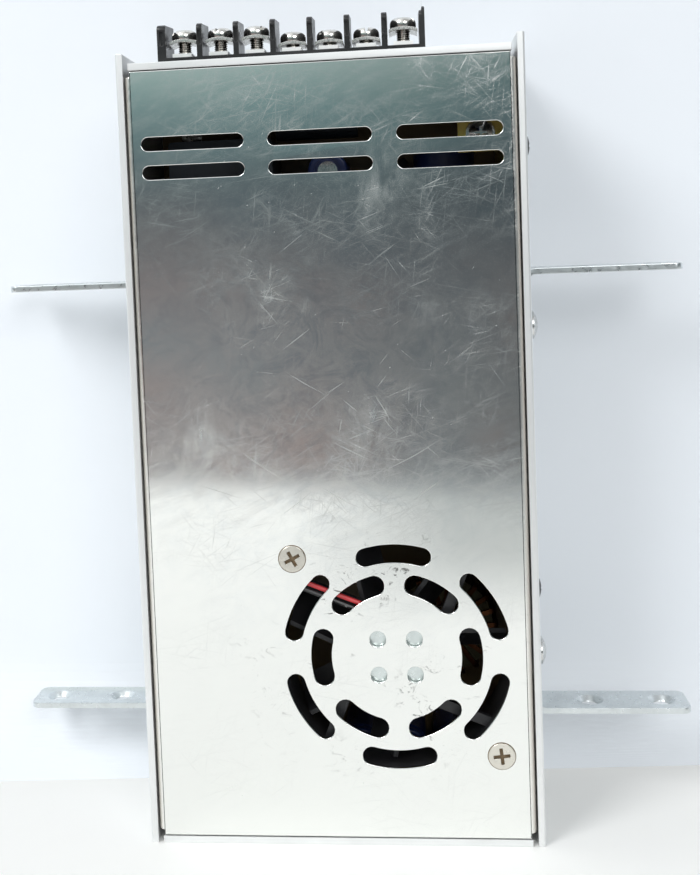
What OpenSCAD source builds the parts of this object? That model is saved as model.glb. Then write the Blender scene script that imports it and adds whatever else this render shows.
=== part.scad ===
// Enclosed switching power supply: folded aluminium chassis and slotted cover,
// cooling fan behind a stamped grille, seven screw terminals and four corner braces.
// X runs across the case, Y from the cover to the base, Z along the length.
// The origin is the middle of the case, on the plane of its lower end.

/* [Chassis] */
// Width over the side walls
case_w = 99; // [96:0.5:130]
// Length of the side walls
case_l = 199; // [196:0.5:240]
// Depth from cover face to base face
case_d = 50; // [49:0.5:64]
// Thickness of the folded chassis sheet
sheet_t = 1.8; // [1.2:0.1:2]
// Outside radius of the chassis folds
fold_r = 2.8; // [2.4:0.1:3.4]
// How far the side walls pass the terminal end flap
wall_overhang = 2.4; // [1:0.1:4]
// Gap between an end flap and each side wall
flap_gap = 1.3; // [0.6:0.1:1.6]
// Rounding of the outer front edge of each side wall
edge_r = 0.7; // [0.2:0.1:1]
// Radius of the tapped mounting holes
tapped_r = 1.65; // [1.2:0.05:2]
// Spacing of the base mounting holes across the case
base_hole_x = 50; // [40:1:60]
// Spacing of the base mounting holes along the case
base_hole_z = 150; // [120:1:160]

/* [Cover] */
// Thickness of the cover sheet
cover_t = 1; // [0.8:0.1:1.5]
// Gap between the cover and each side wall
cover_gap = 0.35; // [0.2:0.05:0.6]
// Gap between the cover and each end flap
cover_end_gap = 0.25; // [0.1:0.05:0.6]
// Outside radius of the cover's side folds
cover_r = 1.4; // [1.4:0.1:2.4]
// Depth of the cover's side flanges
flange_d = 11.5; // [8:0.5:11.5]
// Size of the relief notch at each cover corner
notch = 1.3; // [0.8:0.1:2]
// Length of a vent slot
slot_l = 25.2; // [15:0.2:28]
// Width of a vent slot
slot_w = 3.3; // [2:0.1:5]
// Sideways pitch of the vent slots
slot_pitch = 31.2; // [30:0.2:32]
// Pitch of the two slot rows
slot_row_pitch = 7; // [6:0.1:10]
// Distance of the upper slot row from the terminal end flap
slot_inset = 19.9; // [10:0.1:30]

/* [Fan] */
// Side of the square fan
fan_w = 60; // [58:0.5:60]
// Thickness of the fan
fan_t = 15; // [14:0.5:16]
// Spacing of the fan's corner holes
fan_pitch = 50; // [49:0.25:50.5]
// Radius of the fan's corner holes
fan_hole_r = 2.15; // [1.8:0.05:2.4]
// Radius of the air duct
duct_r = 28.4; // [28:0.1:28.6]
// Radial gap round the blade tips
tip_gap = 0.8; // [0.5:0.1:1.5]
// Outer radius of the rotor hub
hub_r = 13; // [12:0.5:15]
// Number of blades
blades = 7; // [5:1:9]
// Radius of the rotor shaft
shaft_r = 1; // [0.8:0.05:1.4]
// Radial running clearance of the shaft
shaft_fit = 0.05; // [0.03:0.01:0.08]
// Distance from the right side of the case to the middle of the fan
fan_inset = 35.2; // [35.1:0.1:44.5]
// Fan centre above the lower end
fan_z = 48; // [42:0.5:60]
// Radius of the outer ring of grille slots
grille_outer_r = 26; // [25:0.1:26.5]
// Width of the outer grille slots
grille_outer_w = 4.5; // [3:0.1:5]
// Angle between the end centres of an outer grille slot
grille_outer_deg = 31; // [20:1:38]
// Radius of the inner ring of grille slots
grille_inner_r = 18.6; // [18:0.1:19.5]
// Width of the inner grille slots
grille_inner_w = 5; // [3:0.1:5.4]
// Angle between the end centres of an inner grille slot
grille_inner_deg = 29; // [20:1:34]
// Radius of the four holes in the middle of the grille
grille_hole_r = 2; // [1:0.1:2.5]
// Spacing of the four holes
grille_hole_pitch = 9; // [7:0.1:11]

/* [Terminals] */
// Number of terminals
poles = 7; // [4:1:7]
// Pitch of the terminals
pole_pitch = 9.2; // [9:0.1:9.6]
// Left face of the terminal block from the case centre
block_x = -40.3; // [-41:0.1:-38]
// Front face of the terminal block behind the cover face
block_inset = 8; // [6:0.5:10]
// Depth of the terminal block
block_d = 12; // [12:0.5:16]
// Height of the terminal floor above the end flap
floor_rise = 2; // [1:0.1:3]
// Height of the barriers above the terminal floor, at the front
barrier_h = 8.1; // [7:0.1:10]
// Rise of the barrier top towards the base
barrier_slope = 1.1; // [0:0.1:2]
// Thickness of a barrier
barrier_t = 1.4; // [1:0.1:1.6]
// Extra thickness of the left end barrier
end_extra = 0.8; // [0:0.1:1.5]
// Height of the moulded block below its floor
block_h = 12.6; // [11:0.2:14]
// Radius of a terminal screw's thread
terminal_screw_r = 1.7; // [1.4:0.05:2]
// Radius of a terminal screw's head
terminal_head_r = 3.25; // [3:0.05:3.5]
// Height of a terminal screw's head
terminal_head_h = 2.5; // [2:0.1:3]
// Travel of a terminal screw between tight and loose
terminal_travel = 2; // [1:0.1:2.4]
// Gap left under a tight clamp
clamp_gap = 0.3; // [0.25:0.05:0.5]
// Thickness of the contact plates
contact_t = 1; // [0.8:0.1:1.2]
// Thickness of the clamp sheet
clamp_t = 0.8; // [0.6:0.1:1]
// Radial clearance of the terminal screws
terminal_fit = 0.05; // [0.03:0.01:0.08]

/* [Braces] */
// Length of each leg of a corner brace
brace_l = 40.2; // [38:0.2:50]
// Width of a brace
brace_w = 12.5; // [11:0.5:16]
// Thickness of a brace
brace_t = 1.6; // [1.2:0.1:2.5]
// Outside radius of the brace fold
brace_r = 3.2; // [2.8:0.1:5]
// Rounding of the brace corners
brace_corner_r = 2.2; // [1:0.1:4]
// Radius of the brace holes
brace_hole_r = 2.2; // [2:0.05:2.4]
// Radius of the countersink of a brace hole
brace_sink_r = 3.6; // [3:0.1:4]
// First brace hole from the fold's outer face
brace_hole_near = 15; // [12:0.5:16]
// Spacing of the two holes of a leg
brace_hole_pitch = 18.5; // [16:0.5:19]
// Height of the lower left brace plate
brace_low_left_z = 22.5; // [12:0.5:40]
// Height of the lower right brace plate
brace_low_right_z = 25.4; // [12:0.5:28]
// Height of the upper left brace plate
brace_high_left_z = 142; // [110:0.5:150]
// Height of the upper right brace plate
brace_high_right_z = 142.2; // [110:0.5:150]
// Front edge of the left braces behind the cover face
brace_left_inset = 32; // [25:0.5:33]
// Front edge of the right braces behind the cover face
brace_right_inset = 21; // [20:0.5:33]

/* [Wall screws] */
// Radius of the black wall screws' heads
wall_head_r = 3.6; // [3:0.1:4]
// Height of the black wall screws' heads
wall_head_h = 1.9; // [1.5:0.1:2.5]
// Radius of the wall screws' threads
wall_screw_r = 1.5; // [1.2:0.05:1.7]
// Wall screws' distance behind the cover face
wall_screw_inset = 15; // [14.5:0.5:18]
// Height of the lower wall screw
wall_screw_low_z = 61; // [40:0.5:64]
// Height of the upper wall screw
wall_screw_high_z = 172.9; // [160:0.1:176]

/* [Circuit board] */
// Thickness of the circuit board
board_t = 1.6; // [1:0.1:2]
// Gap between the board's edge and each side wall
board_gap = 1.2; // [0.8:0.1:1.6]
// Gap between the board's ends and the end flaps
board_end_gap = 3; // [2:0.5:5]
// Height of the standoffs
standoff_h = 4.8; // [4:0.2:6]
// Radius of the standoffs
standoff_r = 3; // [2.5:0.1:3.5]
// Inset of the board's mounting holes from its ends
board_hole_inset = 10.5; // [10:0.5:11]
// Distance of a board screw from the side edge of the board
board_hole_side = 8.5; // [7.5:0.5:10]
// Thickness of the insulating sheet on the base
film_t = 0.4; // [0.2:0.1:0.6]

/* [Power parts] */
// Thickness of the heatsink bars
bar_t = 3; // [2.4:0.1:3]
// Lower end of the right heatsink bar
bar_right_z = 52; // [50:0.5:54]
// Lower end of the left heatsink bar
bar_left_z = 74; // [72:0.5:78]
// Length of the left heatsink bar
bar_left_l = 92; // [90:0.5:96]
// Length of the right heatsink bar
bar_right_l = 129; // [127:0.5:130]
// Free space on either side of the tall capacitors, up to the wall and the fan
storage_gap = 5; // [5:0.25:6.5]
// Height of the storage capacitors
storage_h = 36; // [28:0.5:37]
// Radius of the lying capacitor
lying_r = 8; // [7:0.25:8.5]
// Length of the lying capacitor
lying_l = 31.5; // [28:0.5:33]
// Radius of the output capacitors
output_cap_r = 5; // [4:0.25:5]
// Height of the output capacitors
output_cap_h = 20; // [14:0.5:22]
// Width of the transformer core
core_w = 42; // [38:0.5:44]
// Length of the transformer core
core_l = 42; // [38:0.5:44]
// Thickness of the transformer core
core_t = 15; // [12:0.5:16]
// Height of the transformer's middle above the board
core_mid_h = 17; // [16.5:0.5:18]
// Outer radius of the choke ring
choke_ring_r = 12.5; // [12:0.25:13]
// Outer radius of the output inductor ring
inductor_ring_r = 13; // [12:0.25:13.5]
// Wire radius of the output inductor
inductor_wire_r = 0.6; // [0.4:0.05:0.65]
// Turns of the output inductor
inductor_turns = 20; // [14:1:21]

/* [Hidden] */
$fn = 48;
over = 0.5;
front_y = -case_d / 2;
back_y = case_d / 2;
wall_in = case_w / 2 - sheet_t;
base_in = back_y - sheet_t;
flap_out = case_l - wall_overhang;
flap_in = flap_out - sheet_t;
flap_half = min(wall_in - flap_gap, case_w / 2 - fold_r - 0.2);
cover_half = wall_in - cover_gap;
cover_bottom = sheet_t + cover_end_gap;
cover_top = flap_in - cover_end_gap;
cover_in = front_y + cover_t;
// round part of the fold must be thicker than the sheet
cover_fold = max(cover_r, cover_t + 0.4);
board_back = base_in - standoff_h;
board_front = board_back - board_t;
board_half = wall_in - board_gap;
board_hole_x = board_half - board_hole_side;
fan_x = case_w / 2 - fan_inset;
board_z0 = sheet_t + board_end_gap;
board_z1 = flap_in - board_end_gap;
floor_z = flap_out + floor_rise;
block_front = front_y + block_inset;
block_mid = block_front + block_d / 2;
block_w = end_extra + poles * pole_pitch + barrier_t;
board2_t = 1.6;
board2_top = floor_z - block_h;
screw_clear = 0.05;
bar_front = front_y + flange_d + 1;
bar_depth = board_front - bar_front;
fan_back = cover_in + fan_t;
m3_r = 1.5;
m3_head_r = 2.8;
m3_head_h = 1.8;
brace_screw_r = tapped_r - screw_clear;
cover_screw_z = [28, 100, 168];
cover_screw_y = front_y + 6;
wall_screw_y = front_y + wall_screw_inset;
loose = [true, true, true, false, false, false, true];

// places on the faces of the case; local z points outwards from each face
module on_front(x, z) translate([x, front_y, z]) rotate([90, 0, 0]) children();
module on_back(x, z) translate([x, back_y, z]) rotate([-90, 0, 0]) children();
module on_wall(side, y, z) translate([side * case_w / 2, y, z]) rotate([0, side * 90, 0]) children();
// a place on the board; local z points from the board to the cover
module on_board(x, z) translate([x, board_front, z]) rotate([90, 0, 0]) children();
module at_pole(i) translate([block_x + end_extra + barrier_t / 2 + pole_pitch * (i + 0.5), block_mid, 0])
    children();

// two-dimensional building shapes
module corner_cut(r) difference() {
    translate([-over, -over]) square(r + over);
    translate([r, r]) circle(r);
}

module fold_quarter(r, t) intersection() {
    difference() {
        circle(r);
        circle(r - t);
    }
    square(r + 1);
}

// channel section: walls from y = 0, back sheet at y = depth
module channel_section(half, depth, t, r) {
    translate([-half + r, depth - t]) square([2 * (half - r), t]);
    for (side = [0, 1]) mirror([side, 0]) {
        translate([half - t, 0]) square([t, depth - r]);
        translate([half - r, depth - r]) fold_quarter(r, t);
    }
}

module obround(length, width) {
    square([length - width, width], center = true);
    for (side = [-1, 1]) translate([side * (length - width) / 2, 0]) circle(width / 2);
}

// slot along an arc, with round ends, drawn as one outline
module arc_slot(radius, width, angle) polygon(concat(
    [for (a = [-angle / 2:angle / 10:angle / 2 + 0.01]) (radius + width / 2) * [cos(a), sin(a)]],
    [for (e = [20:20:160]) radius * [cos(angle / 2), sin(angle / 2)]
        + width / 2 * [cos(angle / 2 + e), sin(angle / 2 + e)]],
    [for (a = [angle / 2:-angle / 10:-angle / 2 - 0.01]) (radius - width / 2) * [cos(a), sin(a)]],
    [for (e = [200:20:340]) radius * [cos(angle / 2), -sin(angle / 2)]
        + width / 2 * [cos(-angle / 2 + e), sin(-angle / 2 + e)]]));

module rounded_plate(w, l, r) {
    square([w - 2 * r, l], center = true);
    square([w, l - 2 * r], center = true);
    for (x = [-1, 1], y = [-1, 1]) translate([x * (w / 2 - r), y * (l / 2 - r)]) circle(r, $fn = 32);
}

// cross-recessed pan-head screw; the head stands on z = 0
module pan_screw(head_r, head_h, thread_r, length) difference() {
    union() {
        rotate_extrude() intersection() {
            square([head_r, head_h]);
            translate([0, head_h - 1.7 * head_r]) circle(1.7 * head_r);
        }
        translate([0, 0, -length]) cylinder(r = thread_r, h = length + over);
    }
    cross_recess(head_r * 1.05, head_h);
}

module cross_recess(width, top) for (turn = [0, 90])
    rotate(turn) translate([-width / 2, -width / 10, top * 0.45]) cube([width, width / 5, top]);

// cross-recessed countersunk screw; its flat head ends at z = 0
module flat_screw(head_r, thread_r, head_h, length) difference() {
    union() {
        translate([0, 0, -head_h]) cylinder(r1 = thread_r, r2 = head_r, h = head_h);
        translate([0, 0, -length]) cylinder(r = thread_r, h = length - head_h + 0.01);
    }
    translate([0, 0, -head_h * 1.1]) cross_recess(head_r * 1.1, head_h * 1.2);
}

module chassis_flap() rotate([90, 0, 90]) linear_extrude(2 * flap_half, center = true) {
    translate([front_y, 0]) square([case_d - fold_r, sheet_t]);
    translate([back_y - fold_r, fold_r]) mirror([0, 1]) fold_quarter(fold_r, sheet_t);
}

module chassis() color("silver") difference() {
    union() {
        difference() {
            linear_extrude(case_l) difference() {
                translate([0, front_y]) channel_section(case_w / 2, case_d, sheet_t, fold_r);
                for (side = [0, 1]) mirror([side, 0]) translate([-case_w / 2, front_y]) corner_cut(edge_r);
            }
            for (end_z = [fold_r - 20, flap_out - fold_r])
                translate([fold_r - case_w / 2, base_in - over, end_z])
                    cube([case_w - 2 * fold_r, sheet_t + 2 * over, 20]);
        }
        chassis_flap();
        translate([0, 0, flap_out]) mirror([0, 0, 1]) chassis_flap();
    }
    for (x = [-1, 1], z = [-1, 1]) on_back(x * base_hole_x / 2, case_l / 2 + z * base_hole_z / 2)
        translate([0, 0, -sheet_t - over]) cylinder(r = tapped_r, h = sheet_t + 2 * over);
    for (side = [-1, 1], z = cover_screw_z) on_wall(side, cover_screw_y, z) {
        translate([0, 0, -sheet_t - over]) cylinder(r = m3_r + 0.2, h = sheet_t + 2 * over);
        translate([0, 0, -1.3]) cylinder(r1 = m3_r + 0.1, r2 = m3_head_r + 0.1, h = 1.31);
    }
    for (z = [wall_screw_low_z, wall_screw_high_z]) on_wall(1, wall_screw_y, z)
        translate([0, 0, -sheet_t - over]) cylinder(r = wall_screw_r + 0.2, h = sheet_t + 2 * over);
    for (z = [bar_left_z + 10, bar_left_z + bar_left_l - 10]) on_wall(-1, bar_front + 5, z)
        translate([0, 0, -sheet_t - over]) cylinder(r = wall_screw_r + 0.2, h = sheet_t + 2 * over);
    for (b = brace_list) on_wall(b[0], b[1] + brace_w / 2, b[2] + b[3] * brace_hole_near)
        translate([0, 0, -sheet_t - over]) cylinder(r = tapped_r, h = sheet_t + 2 * over);
    translate([block_x - 0.4, block_front - 0.4, flap_in - over])
        cube([block_w + 0.8, block_d + 0.8, sheet_t + 2 * over]);
    translate([lamp_x, lamp_y, flap_in - over]) cylinder(r = lamp_r + 0.2, h = sheet_t + 2 * over);
    translate([trimmer_x, trimmer_y, flap_in - over]) cylinder(r = 2.4, h = sheet_t + 2 * over);
}

module grille_shape() {
    for (k = [0:5]) {
        rotate(30 + 60 * k) arc_slot(grille_outer_r, grille_outer_w, grille_outer_deg);
        rotate(60 * k) arc_slot(grille_inner_r, grille_inner_w, grille_inner_deg);
    }
    for (x = [-1, 1], y = [-1, 1]) translate([x, y] * grille_hole_pitch / 2) circle(grille_hole_r);
}

module cover() color("gainsboro") difference() {
    translate([0, 0, cover_bottom]) linear_extrude(cover_top - cover_bottom)
        translate([0, front_y + flange_d]) mirror([0, 1])
            channel_section(cover_half, flange_d, cover_t, cover_fold);
    for (x = [-1, 1], z = [cover_bottom, cover_top])
        translate([x * cover_half, front_y + flange_d / 2, z])
            cube([2 * notch, flange_d + 2, 2 * notch], center = true);
    for (col = [-1, 0, 1], row = [0, 1])
        on_front(col * slot_pitch, flap_out - slot_inset - row * slot_row_pitch)
            translate([0, 0, -cover_t - over]) linear_extrude(cover_t + 2 * over) obround(slot_l, slot_w);
    on_front(fan_x, fan_z) translate([0, 0, -cover_t - over])
        linear_extrude(cover_t + 2 * over) grille_shape();
    for (s = [-1, 1]) on_front(fan_x + s * fan_pitch / 2, fan_z - s * fan_pitch / 2)
        translate([0, 0, -cover_t]) {
            cylinder(r1 = fan_hole_r, r2 = fan_hole_r + 1.2, h = cover_t + 0.01);
            translate([0, 0, -over]) cylinder(r = fan_hole_r, h = 2 * over);
        }
    for (side = [-1, 1], z = cover_screw_z) on_wall(side, cover_screw_y, z)
        translate([0, 0, -sheet_t - cover_gap - cover_t - over])
            cylinder(r = m3_r + screw_clear, h = cover_t + 2 * over);
}

module cover_screws() color("lightgray") for (side = [-1, 1], z = cover_screw_z)
    on_wall(side, cover_screw_y, z)
        flat_screw(m3_head_r, m3_r, 1.3, sheet_t + cover_gap + cover_t + 1);

module wall_screws() color("#202020") for (z = [wall_screw_low_z, wall_screw_high_z])
    on_wall(1, wall_screw_y, z)
        pan_screw(wall_head_r, wall_head_h, wall_screw_r, sheet_t + bar_t);

// corner brace: plate along +x, wall leg along +z, fold at the origin
module brace() difference() {
    translate([0, brace_w, 0]) rotate([90, 0, 0]) linear_extrude(brace_w) {
        translate([brace_r, 0]) square([brace_l - brace_r, brace_t]);
        translate([0, brace_r]) square([brace_t, brace_l - brace_r]);
        translate([brace_r, brace_r]) rotate(180) fold_quarter(brace_r, brace_t);
    }
    for (y = [0, 1]) translate([0, y * brace_w, 0]) mirror([0, y, 0]) {
        translate([brace_l, 0, -over]) linear_extrude(brace_t + 2 * over)
            mirror([1, 0]) corner_cut(brace_corner_r);
        translate([-over, 0, brace_l]) rotate([0, 90, 0]) linear_extrude(brace_t + 2 * over)
            corner_cut(brace_corner_r);
    }
    for (k = [0, 1]) {
        d = brace_hole_near + k * brace_hole_pitch;
        translate([d, brace_w / 2, brace_t]) brace_hole();
        translate([brace_t, brace_w / 2, d]) rotate([0, 90, 0]) brace_hole();
    }
}

module brace_hole() {
    translate([0, 0, -brace_t - over]) cylinder(r = brace_hole_r, h = brace_t + 2 * over);
    translate([0, 0, brace_hole_r - brace_sink_r])
        cylinder(r1 = brace_hole_r, r2 = brace_sink_r, h = brace_sink_r - brace_hole_r + 0.01);
}

// side, front edge, fold height, direction of the wall leg
brace_list = [
    [-1, front_y + brace_left_inset, brace_low_left_z, 1],
    [1, front_y + brace_right_inset, brace_low_right_z, 1],
    [-1, front_y + brace_left_inset, brace_high_left_z, -1],
    [1, front_y + brace_right_inset, brace_high_right_z, -1]];

module placed_brace(i) {
    b = brace_list[i];
    color("#b8bcc4") translate([b[0] * case_w / 2, b[1], b[2]])
        mirror([b[0] < 0 ? 1 : 0, 0, 0]) mirror([0, 0, b[3] < 0 ? 1 : 0]) brace();
}

module brace_lower_left() placed_brace(0);
module brace_lower_right() placed_brace(1);
module brace_upper_left() placed_brace(2);
module brace_upper_right() placed_brace(3);

module brace_screws() color("silver") for (b = brace_list)
    on_wall(b[0], b[1] + brace_w / 2, b[2] + b[3] * brace_hole_near)
        translate([0, 0, brace_t]) pan_screw(3.7, 2.4, brace_screw_r, brace_t + sheet_t - 0.1);

// fan parts; local z points out of the case, z = 0 is the inner face of the cover
module at_fan() translate([fan_x, cover_in, fan_z]) rotate([90, 0, 0]) children();
motor_r = 13;
motor_top = -0.6;
motor_floor = -3.8;
strut_top = -2.2;
rotor_top = motor_floor - 0.4;
rotor_bottom = -fan_t + 1.2;
strut_w = 2.6;
strut_offset = 8;
tube_r = 3.4;
bearing_r = 2.5;
wire_r = 0.6;
// direction of the strut that carries the wires
wire_turn = 158;

module fan_frame() color("#1c1c1c") at_fan() difference() {
    union() {
        difference() {
            union() {
                for (z = [-3.2, -fan_t]) translate([0, 0, z]) linear_extrude(3.2)
                    rounded_plate(fan_w, fan_w, 3);
                translate([0, 0, -fan_t]) linear_extrude(fan_t) intersection() {
                    square(fan_w, center = true);
                    circle(duct_r + 2.4, $fn = 96);
                }
            }
            translate([0, 0, -fan_t - over]) cylinder(r = duct_r, h = fan_t + 2 * over, $fn = 96);
        }
        translate([0, 0, motor_floor]) cylinder(r = motor_r, h = motor_top - motor_floor);
        translate([0, 0, motor_floor - 7]) cylinder(r = tube_r, h = 7.2);
        for (k = [0:3]) rotate(wire_turn + 90 * k) translate([0, -strut_offset - strut_w / 2, motor_floor])
            cube([duct_r + 0.8, strut_w, strut_top - motor_floor]);
    }
    for (x = [-1, 1], y = [-1, 1]) translate([x * fan_pitch / 2, y * fan_pitch / 2, -fan_t - over])
        cylinder(r = fan_hole_r, h = fan_t + 2 * over);
    translate([0, 0, motor_floor - 8]) cylinder(r = bearing_r + 0.02, h = 10);
    rotate(wire_turn) translate([duct_r - 5, -strut_offset - 1.9, strut_top]) cube([20, 3.8, 3]);
}

// bare foil disc on the motor plate
module fan_disc() color("#dfe3e2") at_fan() translate([0, 0, motor_top]) cylinder(r = motor_r - 1, h = 0.2);

module fan_bearing() color("#b08d57") at_fan() translate([0, 0, motor_floor - 7]) difference() {
    cylinder(r = bearing_r, h = 8.5);
    translate([0, 0, -over]) cylinder(r = shaft_r + shaft_fit, h = 10);
}

module fan_stator() color("#8a4b2a") at_fan() translate([0, 0, motor_floor - 6]) difference() {
    cylinder(r = hub_r - 3.6, h = 5.6);
    translate([0, 0, -over]) cylinder(r = tube_r + 0.02, h = 7);
    for (k = [0:3]) rotate(90 * k) translate([5, -1, -over]) cube([6, 2, 7]);
}

// a cambered blade is a slice of a cylinder wall whose axis is radial
module blade() intersection() {
    difference() {
        cylinder(r = duct_r - tip_gap, h = rotor_top - rotor_bottom, $fn = 96);
        translate([0, 0, -over]) cylinder(r = hub_r - 0.4, h = 20);
    }
    translate([0, -13, 14]) rotate([0, 90, 0]) difference() {
        cylinder(r = 19, h = duct_r + 2, $fn = 96);
        translate([0, 0, -over]) cylinder(r = 17.9, h = duct_r + 4, $fn = 96);
    }
    translate([0, -8, 0]) cube([duct_r + 1, 17, 12]);
}

module fan_rotor() color("#262626") at_fan() translate([0, 0, rotor_bottom]) {
    difference() {
        cylinder(r = hub_r, h = rotor_top - rotor_bottom);
        translate([0, 0, 1.4]) cylinder(r = hub_r - 1.8, h = 20);
    }
    cylinder(r = shaft_r, h = motor_floor - rotor_bottom);
    cylinder(r = 2.6, h = 2);
    for (k = [0:blades - 1]) rotate(360 / blades * k) blade();
}

module fan_screws() color("#d8d2c0") for (s = [-1, 1])
    on_front(fan_x + s * fan_pitch / 2, fan_z - s * fan_pitch / 2)
        flat_screw(fan_hole_r + 1.15, fan_hole_r - screw_clear, cover_t, 9);

// wires of the fan as swept tubes
function ring_at(route, i, r) = let (
        n = len(route),
        a = route[max(i - 1, 0)],
        b = route[min(i + 1, n - 1)],
        t = (b - a) / norm(b - a),
        side = abs(t[2]) < 0.9 ? cross(t, [0, 0, 1]) : cross(t, [1, 0, 0]),
        u = side / norm(side),
        v = cross(t, u))
    [for (k = [0:7]) route[i] + r * (cos(45 * k) * u + sin(45 * k) * v)];

module tube(route, r) {
    n = len(route);
    points = [for (i = [0:n - 1]) each ring_at(route, i, r)];
    polyhedron(points, concat(
        [[for (k = [0:7]) k]],
        [for (i = [0:n - 2], k = [0:7])
            [8 * i + k, 8 * i + 8 + k, 8 * i + 8 + (k + 1) % 8, 8 * i + (k + 1) % 8]],
        [[for (k = [7:-1:0]) 8 * (n - 1) + k]]), convexity = 6);
}

// the wires run along a strut, over the frame's edge and down to the board
plug_x = fan_x - fan_w / 2 - 4;
plug_z = fan_z + 23;
plug_h = 8;
wire_y = cover_in + 1.1;
function strut_point(d, side) = [
    fan_x + d * cos(wire_turn) + (strut_offset + 0.85 * side) * sin(wire_turn),
    wire_y,
    fan_z + d * sin(wire_turn) - (strut_offset + 0.85 * side) * cos(wire_turn)];
function wire_route(side) = [
    strut_point(11.4, side),
    strut_point(16, side),
    strut_point(22, side),
    strut_point(28, side),
    strut_point(35.6, side),
    [plug_x + 1.4, wire_y + 0.6, plug_z - 1 + 0.85 * side],
    [plug_x + 0.4, wire_y + 2.4, plug_z - 0.4 + 0.9 * side],
    [plug_x, wire_y + 5, plug_z + side],
    [plug_x, board_front - plug_h - 6, plug_z + 1.25 * side],
    [plug_x, board_front - plug_h - 0.1, plug_z + 1.25 * side]];

module fan_wires() color("#b3261e") for (s = [-1, 1]) tube(wire_route(s), wire_r);

module fan_plug() color("#e8e4d8") on_board(plug_x, plug_z) {
    translate([-2.9, -3.8, 0]) cube([5.8, 7.6, 5]);
    translate([-2.3, -3.2, 5]) cube([4.6, 6.4, plug_h - 5]);
}

// moulded block: base through the end flap, barriers between the terminals
module barrier(width, extra) rotate([90, 0, 90]) linear_extrude(width) difference() {
    polygon([[block_front, floor_z - 1], [block_front + block_d, floor_z - 1],
        [block_front + block_d, floor_z + barrier_h + barrier_slope + extra],
        [block_front, floor_z + barrier_h + extra]]);
    translate([block_front, floor_z + barrier_h + extra]) mirror([0, 1]) corner_cut(1.2);
}

module terminal_block() color("#151515") difference() {
    union() {
        translate([block_x, block_front, board2_top]) cube([block_w, block_d, block_h]);
        for (i = [1:poles]) translate([block_x + end_extra + i * pole_pitch, 0, 0]) barrier(barrier_t, 0);
        translate([block_x, 0, 0]) barrier(barrier_t + end_extra, 0);
        translate([block_x + block_w - 0.7, 0, 0]) barrier(0.7, 0.9);
    }
    for (i = [0:poles - 1]) at_pole(i) {
        translate([0, 0, floor_z - 9]) cylinder(r = terminal_screw_r + 0.3, h = 10);
        translate([-0.7, block_d / 2 - 2.6, board2_top - over]) cube([1.4, 1.5, block_h + 2 * over]);
    }
}

module terminal_contacts() color("#d9d9d2") for (i = [0:poles - 1]) at_pole(i) difference() {
    union() {
        translate([-2.4, -block_d / 2 + 0.8, floor_z]) cube([4.8, block_d - 1.6, contact_t]);
        translate([-0.5, block_d / 2 - 2.4, board2_top - board2_t])
            cube([1, 1.1, block_h + board2_t + contact_t]);
    }
    translate([0, 0, floor_z - over])
        cylinder(r = terminal_screw_r + terminal_fit, h = contact_t + 2 * over);
}

module terminal_board() color("#2f5d3a") difference() {
    translate([block_x - 2, front_y + 5, board2_top - board2_t])
        cube([block_w + 4, board_front - front_y - 5, board2_t]);
    for (i = [0:poles - 1]) at_pole(i) translate([-0.55, block_d / 2 - 2.45, board2_top - board2_t - over])
        cube([1.1, 1.2, board2_t + 2 * over]);
}

clamp_rise = 0.75;
clamp_half = pole_pitch / 2 - barrier_t / 2 - 0.4;
clamp_arc_r = (clamp_half * clamp_half + clamp_rise * clamp_rise) / (2 * clamp_rise) + clamp_t;
function lift(i) = loose[i] ? terminal_travel : 0;
clamp_z = floor_z + contact_t + clamp_gap;

module terminal_clamp(i) color("#c9ccd0") at_pole(i) translate([0, 0, clamp_z + lift(i)]) difference() {
    intersection() {
        translate([0, 0, clamp_rise + clamp_t - clamp_arc_r]) rotate([90, 0, 0]) difference() {
            cylinder(r = clamp_arc_r, h = 7.6, center = true, $fn = 96);
            cylinder(r = clamp_arc_r - clamp_t, h = 9, center = true, $fn = 96);
        }
        translate([-clamp_half, -4, 0]) cube([2 * clamp_half, 8, 4]);
    }
    translate([0, 0, -over]) cylinder(r = terminal_screw_r + 0.2, h = 5);
}

module terminal_screw(i) color("#d4d6d8") at_pole(i)
    translate([0, 0, clamp_z + clamp_rise + clamp_t + lift(i)]) rotate(25 + 50 * i)
        difference() {
            pan_screw(terminal_head_r, terminal_head_h, terminal_screw_r, 8);
            translate([-terminal_head_r - 1, -0.45, terminal_head_h * 0.5])
                cube([2 * terminal_head_r + 2, 0.9, 3]);
        }

module circuit_board() color("#b58a4a") difference() {
    translate([-board_half, board_front, board_z0]) cube([2 * board_half, board_t, board_z1 - board_z0]);
    at_board_holes() translate([0, 0, -board_t - over]) cylinder(r = m3_r + 0.2, h = board_t + 2 * over);
}

module at_board_holes() for (x = [-1, 1], z = [board_z0 + board_hole_inset, board_z1 - board_hole_inset])
    on_board(x * board_hole_x, z) children();

module board_standoffs() color("#c8c8c8") at_board_holes() translate([0, 0, -board_t - standoff_h])
    difference() {
        cylinder(r = standoff_r, h = standoff_h, $fn = 6);
        translate([0, 0, 1]) cylinder(r = m3_r + screw_clear, h = standoff_h);
    }

module board_screws() color("silver") at_board_holes()
    pan_screw(m3_head_r, m3_head_h, m3_r, board_t + 3);

module insulating_sheet() color("#3a3a3a") difference() {
    translate([-board_half, base_in - film_t, board_z0])
        cube([2 * board_half, film_t, board_z1 - board_z0]);
    at_board_holes() translate([0, 0, -board_t - standoff_h - over]) cylinder(r = standoff_r + 0.5, h = 3);
}

// heatsink bars clamp the power devices against the side walls
device_w = 10.2;
device_t = 4.4;
device_l = 15.6;
switch_z = [bar_left_z + 14, bar_left_z + 32];
rectifier_z = [bar_right_z + 32, bar_right_z + 50];
device_front = board_front - 24;

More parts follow.
